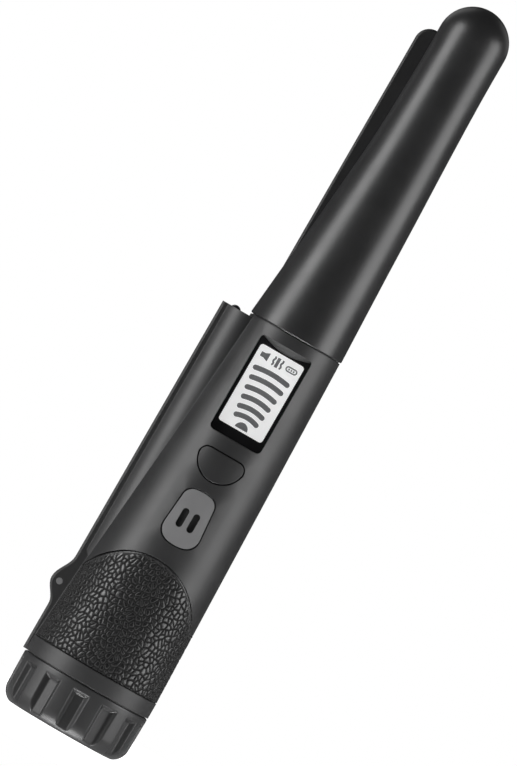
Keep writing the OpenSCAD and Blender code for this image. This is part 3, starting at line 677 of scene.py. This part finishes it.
CAP_H = 15.05
CAP_R = 20.13
CAP_LEAN = 0.18              # the side is this much narrower at the foot than at the top
CAP_FOOT_R = 17.0            # radius of the flat foot
CAP_FILLET = 5.06            # radius of the rounded foot
CAP_FILLET_Z = 4.6           # where the foot meets the side
CAP_SHOULDER = 0.5
CAP_FLOOR_Z = 2.6
POCKETS = 13
POCKET_COLUMNS = 48
POCKET_FLOOR_R = 18.43
POCKET_HALF_W = 1.5          # half width of a pocket's floor
POCKET_FLARE = 0.81          # sideways slope of its walls
POCKET_ROOF_Z = 11.9
POCKET_ROOF_SLOPE = 0.6
LAND_R = 19.3                # raised ring under the end collar
LAND_Z = 15.3
SPIGOT_R = 17.1
SPIGOT_TOP = 22.6
SPIGOT_WALL = 1.6
SEAL_GROOVE = (16.7, 18.1)   # lower and upper edge of the groove for the ring seal
SEAL_DEPTH = 1.1
THREAD_FOOT = 18.3
THREAD_FULL = 18.9           # the thread has its full depth from here up
THREAD_DEPTH = 0.7
THREAD_LEAD = 5.0
BOSS_R = 2.0                 # the washer's screw goes into this boss
BOSS_TOP = 4.2
SCREW_HOLE_R = 0.9
SCREW_HOLE_Z = 1.2


def smooth_min(a, b, radius):
    """The smaller of two lengths, with the corner between them rounded off."""
    h = np.clip(0.5 + 0.5 * (b - a) / radius, 0, 1)
    return b + (a - b) * h - radius * h * (1 - h)


def plain_side(z):
    """The cap's outline: a rounded foot, a slightly leaning wall and a soft shoulder at the top."""
    foot_rise = np.sqrt(np.clip(CAP_FILLET ** 2 - (z - CAP_FILLET_Z) ** 2, 0, None))
    foot = CAP_R - CAP_LEAN - CAP_FILLET + foot_rise
    wall = CAP_R - CAP_LEAN + CAP_LEAN * (z - CAP_FILLET_Z) / (CAP_H - 1.6 - CAP_FILLET_Z)
    over = np.clip(z - CAP_H + CAP_SHOULDER, 0, CAP_SHOULDER)
    shoulder = CAP_R - CAP_SHOULDER + np.sqrt(np.clip(CAP_SHOULDER ** 2 - over ** 2, 0, None))
    return np.minimum(np.where(z < CAP_FILLET_Z, foot, wall), shoulder)


def side_radius(theta, z):
    """The radius of the cap's side all round at height z, with the finger pockets cut in."""
    pitch = 2 * math.pi / POCKETS
    off = (theta + math.pi / 2 + pitch / 2) % pitch - pitch / 2       # angle from the nearest pocket's middle
    # a pocket's three kinds of face, each as the radius at which it meets this direction
    floor = POCKET_FLOOR_R / np.cos(off)
    wall = (POCKET_FLARE * POCKET_FLOOR_R - POCKET_HALF_W) / (
        POCKET_FLARE * np.cos(off) - np.abs(np.sin(off)))
    roof = POCKET_FLOOR_R + (z - POCKET_ROOF_Z) / POCKET_ROOF_SLOPE
    pocket = -smooth_min(-floor, smooth_min(-wall, -roof, 0.3), 0.3)
    plain = plain_side(np.full(len(theta), z))
    # the lowest rings keep sharp corners, so that the foot stays flat
    return smooth_min(plain, pocket, 0.34) if z > 0.3 else np.minimum(plain, pocket)


def thread_radius(theta, z):
    """The radius of the spigot all round at height z, with a two-start thread that fades at both ends."""
    phase = (z / (THREAD_LEAD / 2) - 2 * theta / (2 * math.pi)) % 1
    fade_out = smooth_step(SPIGOT_TOP - 0.9, SPIGOT_TOP - 0.25, z)
    fade = smooth_step(THREAD_FOOT, THREAD_FULL, z) * (1 - fade_out)
    return SPIGOT_R - THREAD_DEPTH * fade * smooth_step(0.5, 0.8, 2 * np.abs(phase - 0.5))


def cap_rings():
    """Each ring of the cap: its height, and its radius or a function that gives the radius all round.

    They run from the foot's middle out, up the side and the spigot, and down again inside the spigot.
    """
    side_top = CAP_H - CAP_SHOULDER
    side_heights = [*np.linspace(0.04, 0.5, 4), *np.linspace(0.75, side_top, 54),
                    *(side_top + CAP_SHOULDER * np.sin(np.linspace(0, math.pi / 2, 7)[1:]))]
    thread_heights = np.linspace(THREAD_FOOT, SPIGOT_TOP - 0.25, 24)
    groove_low, groove_high = SEAL_GROOVE
    rings = [(0.0, radius) for radius in (0.0, 6, 12, 16, CAP_FOOT_R - 0.15)]
    rings += [(z, side_radius) for z in side_heights]
    rings += [(CAP_H, LAND_R), (LAND_Z, LAND_R), (LAND_Z, SPIGOT_R), (groove_low, SPIGOT_R),
              (groove_low, SPIGOT_R - SEAL_DEPTH), (groove_high, SPIGOT_R - SEAL_DEPTH),
              (groove_high, SPIGOT_R)]
    rings += [(z, thread_radius) for z in thread_heights]
    rings += [(SPIGOT_TOP, SPIGOT_R - 0.45), (SPIGOT_TOP, SPIGOT_R - SPIGOT_WALL + 0.25),
              (SPIGOT_TOP - 0.25, SPIGOT_R - SPIGOT_WALL), (CAP_FLOOR_Z, SPIGOT_R - SPIGOT_WALL)]
    rings += [(CAP_FLOOR_Z, BOSS_R), (BOSS_TOP, BOSS_R), (BOSS_TOP, SCREW_HOLE_R),
              (SCREW_HOLE_Z, SCREW_HOLE_R), (SCREW_HOLE_Z, 0.0)]
    return rings


def make_cap():
    """The battery cap: thirteen finger pockets round the side and a threaded spigot above."""
    columns = POCKETS * POCKET_COLUMNS
    theta = np.linspace(0, 2 * math.pi, columns, endpoint=False) - math.pi / 2
    rings = cap_rings()
    points, starts = [], []
    for z, radius in rings:
        starts.append(len(points))
        if radius == 0.0:
            points.append((0, 0, z))
            continue
        radii = radius(theta, z) if callable(radius) else np.full(columns, radius)
        points += [(r * math.cos(t), r * math.sin(t), z) for r, t in zip(radii, theta)]
    pointed = [radius == 0.0 for z, radius in rings]
    cap = make_object("cap_skin", points, ring_faces(starts, pointed, columns), smooth_angle=35)
    cap.data.materials.append(cap_black)
    return cap


# --------------------------------------------------------------------- display

MARK_Y = -10.985      # the marks lie between the window and the lit panel
MARK_T = 0.025
BAR_W = 1.5
WAVE_W = 0.56
WAVE_H = 2.4
WAVE_SWING = 0.16
WAVE_FOOT_Z = 121.0
# left end, right end, crown height and sag of each strength bar's middle line, widest first
BARS = ((-3.5, 6.95, 118.5, 0.53), (-3.1, 6.55, 115.6, 0.55), (-2.75, 6.15, 112.55, 0.56),
        (-2.35, 5.8, 109.7, 0.58), (-2.0, 5.45, 106.85, 0.59), (-1.6, 5.0, 104.25, 0.62))
HALF_DISC_R = 2.0
HALF_DISC_Z = 100.5
SPEAKER = ((-4.1, 121.5), (-2.9, 121.5), (-1.55, 120.95), (-1.55, 123.55), (-2.9, 122.95), (-4.1, 122.95))
VIBRATION_BAR = ((0.9, 120.7), (1.85, 120.7), (1.85, 123.7), (0.9, 123.7))
VIBRATION_WAVES_X = (0.15, 2.65)
BATTERY_SIGN_X = 5.95
BATTERY_SIGN_Z = 122.2


def flat_mark(outline):
    """A closed plate over an outline of (x, z) points, which run anticlockwise seen from the front."""
    n = len(outline)
    points = [(x, MARK_Y, z) for x, z in outline] + [(x, MARK_Y + MARK_T, z) for x, z in outline]
    faces = [tuple(range(n)), tuple(reversed(range(n, 2 * n)))]
    faces += [((i + 1) % n, i, i + n, (i + 1) % n + n) for i in range(n)]
    return points, faces


def stroke(path, width):
    """Outline of a line of that width along path, with round ends."""
    half = width / 2
    path = [Vector(p) for p in path]
    left, right = [], []
    for i, p in enumerate(path):
        ahead = path[min(i + 1, len(path) - 1)] - path[max(i - 1, 0)]
        side = Vector((-ahead.y, ahead.x)).normalized() * half
        left.append(p + side)
        right.append(p - side)

    def end_cap(centre, first):
        arm = first - centre
        return [centre + Matrix.Rotation(-math.pi * k / 8, 2) @ arm for k in range(1, 8)]
    outline = left + end_cap(path[-1], left[-1]) + list(reversed(right)) + end_cap(path[0], right[0])
    return [tuple(p) for p in reversed(outline)]


def bowed(x0, x1, crown_z, sag):
    """Points of a shallow arc between x0 and x1, highest in the middle."""
    middle, half = (x0 + x1) / 2, (x1 - x0) / 2
    return [(middle + half * t, crown_z - sag * t * t) for t in np.linspace(-1, 1, 14)]


def arc(x, z, radius, start, end, steps):
    """Points on part of a circle round (x, z)."""
    return [(x + radius * math.cos(a), z + radius * math.sin(a)) for a in np.linspace(start, end, steps)]


def joined(plates):
    """One list of points and one of faces out of several plates' lists."""
    points, faces = [], []
    for more_points, more_faces in plates:
        faces += [tuple(i + len(points) for i in f) for f in more_faces]
        points += more_points
    return points, faces


def make_marks():
    """The display's generic signs: strength bars, a half disc, a speaker, vibration and a battery."""
    shapes = [stroke(bowed(x0, x1, crown, sag), BAR_W) for x0, x1, crown, sag in BARS]
    shapes.append(arc(FRONT_X, HALF_DISC_Z, HALF_DISC_R, 0, math.pi, 24))
    shapes += [SPEAKER, VIBRATION_BAR]
    for x in VIBRATION_WAVES_X:
        wave = [(x + WAVE_SWING * math.sin(t * 9), WAVE_FOOT_Z + WAVE_H * t) for t in np.linspace(0, 1, 16)]
        shapes.append(stroke(wave, WAVE_W))
    plates = [flat_mark(outline) for outline in shapes]
    plates.append(battery_sign(BATTERY_SIGN_X, BATTERY_SIGN_Z))
    marks = make_object("display_marks", *joined(plates), smooth_angle=30)
    marks.data.materials.append(mark_grey)
    return marks


def battery_sign(x, z):
    """A hollow rounded bar with three dots in it."""
    half_w, half_h, line = 1.87, 0.87, 0.4
    quarter = math.pi / 2

    def pill(inset):
        r = half_h - inset
        right = arc(x + half_w - half_h, z, r, -quarter, quarter, 12)
        left = arc(x - half_w + half_h, z, r, quarter, 3 * quarter, 12)
        return right + left
    outer, inner = pill(0), pill(line)
    n = len(outer)
    points = [(px, y, pz) for y in (MARK_Y, MARK_Y + MARK_T) for ring in (outer, inner) for px, pz in ring]
    faces = []
    for i in range(n):
        j = (i + 1) % n
        faces.append((i, j, n + j, n + i))
        faces.append((2 * n + j, 2 * n + i, 3 * n + i, 3 * n + j))
        faces.append((j, i, 2 * n + i, 2 * n + j))
        faces.append((n + i, n + j, 3 * n + j, 3 * n + i))
    plates = [(points, faces)]
    for dx in (-0.75, 0, 0.75):
        dot = [(x + dx + 0.24 * math.cos(a), z + 0.3 * math.sin(a))
               for a in np.linspace(0, 2 * math.pi, 14, endpoint=False)]
        plates.append(flat_mark(dot))
    return joined(plates)


# ----------------------------------------------------------------------- stage

VIEW_HEIGHT = 0.2195          # metres of the object's plane that the frame's height covers
VIEW_CENTRE = (-0.00046, 0.0, 0.1145)
ROLL = math.radians(30)       # the camera leans, so the upright tool lies across the frame
LENS = 600.0
SENSOR = 36.0
DIM = 0.05                    # what the world and the floor give off, as the tool sees them
FLOOR_R = 260.0
FLOOR_Z = -0.02               # just under the cap's foot


def make_camera():
    """A long lens straight in front, so the picture has next to no perspective."""
    data = bpy.data.cameras.new("camera")
    data.lens = LENS
    data.sensor_width = SENSOR
    distance = VIEW_HEIGHT * LENS / SENSOR
    camera = bpy.data.objects.new("camera", data)
    bpy.context.scene.collection.objects.link(camera)
    c, s = math.cos(ROLL), math.sin(ROLL)
    right, up, back = Vector((c, 0, s)), Vector((-s, 0, c)), Vector((0, -1, 0))
    turn = Matrix((right, up, back)).transposed().to_4x4()
    camera.matrix_world = Matrix.Translation(Vector(VIEW_CENTRE) + back * distance) @ turn
    bpy.context.scene.camera = camera


def softbox(name, azimuth, elevation, distance, target_z, width, height, radiance, through_floor=False):
    """A rectangular light aimed at the tool. Azimuth 0 is in front of it, and positive is to its right."""
    az, el = math.radians(azimuth), math.radians(elevation)
    toward = Vector((math.sin(az) * math.cos(el), -math.cos(az) * math.cos(el), math.sin(el)))
    data = bpy.data.lights.new(name, "AREA")
    data.shape = "RECTANGLE"
    data.size, data.size_y = width, height
    data.energy = 4 * radiance * width * height       # the same brightness per area at any size
    lamp = bpy.data.objects.new(name, data)
    bpy.context.scene.collection.objects.link(lamp)
    lamp.matrix_world = (Matrix.Translation(Vector((0, 0, target_z)) + toward * distance)
                         @ toward.to_track_quat("Z", "Y").to_matrix().to_4x4())
    lamp.visible_camera = False
    if through_floor:
        data.cycles.use_multiple_importance_sampling = False


def make_lights():
    """A tall strip on each side for the two long highlights, a fill from below, and a weak pair behind."""
    softbox("strip_left", -64, 5, 0.85, 0.13, 0.44, 1.0, 5.5)
    softbox("strip_right", 75, 5, 0.85, 0.13, 0.56, 1.0, 3.9)
    softbox("table_light", 0, -78, 0.6, 0.05, 0.50, 0.35, 7.5, through_floor=True)
    softbox("back_left", -145, 30, 1.2, 0.13, 0.50, 0.8, 0.5)
    softbox("back_right", 145, 30, 1.2, 0.13, 0.50, 0.8, 0.3)


def camera_level(nodes, links, otherwise):
    """1 where the camera looks straight at the surface, otherwise the given lower level of light."""
    rays = nodes.new("ShaderNodeLightPath")
    level = nodes.new("ShaderNodeMapRange")
    level.inputs[3].default_value = otherwise
    level.inputs[4].default_value = 1.0
    links.new(rays.outputs["Is Camera Ray"], level.inputs[0])
    return level.outputs[0]


def make_world():
    """Plain white behind the tool, and only a dim even light from it."""
    world = bpy.data.worlds.new("studio")
    bpy.context.scene.world = world
    world.use_nodes = True
    nodes, links = world.node_tree.nodes, world.node_tree.links
    background = nodes["Background"]
    background.inputs["Color"].default_value = (1, 1, 1, 1)
    links.new(camera_level(nodes, links, DIM), background.inputs["Strength"])


def make_floor():
    """A pale round table top, lit through from below, so no hard shadow falls on it."""
    segments = 96
    angles = np.linspace(0, 2 * math.pi, segments, endpoint=False)
    points = [(FLOOR_R * math.cos(a), FLOOR_R * math.sin(a), FLOOR_Z) for a in angles]
    points.append((0, 0, FLOOR_Z))
    faces = [(i, (i + 1) % segments, segments) for i in range(segments)]
    floor = make_object("floor", points, faces)
    f = Finish("floor_white", (0.85, 0.85, 0.85), 0.8)
    f.set("Base Color", f.mix(f.noise(40), (0.84, 0.84, 0.84), (0.86, 0.86, 0.86)))
    f.shader.inputs["Emission Color"].default_value = (1, 1, 1, 1)
    f.set("Emission Strength", camera_level(f.nodes, f.links, DIM))
    floor.data.materials.append(f.material)
    floor.visible_shadow = False


def ride(piece, body, slot, *nodes):
    """piece moves with body and stands for the CAD nodes, which are hidden; slot is not used."""
    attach(piece, body)
    if nodes:
        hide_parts(*nodes)


dress_cad_nodes()
ride(make_probe(), "housing", "black_plastic", "probe_shell")
ride(make_blade(), "housing", "black_plastic")
ride(make_grip(), "housing", "grip_rubber", "grip_sleeve")
ride(make_cap(), "cap", "black_plastic", "cap_shell")
ride(make_marks(), "housing", "screen_white")

make_camera()
make_lights()
make_world()
make_floor()
bpy.context.scene.view_settings.view_transform = "Standard"
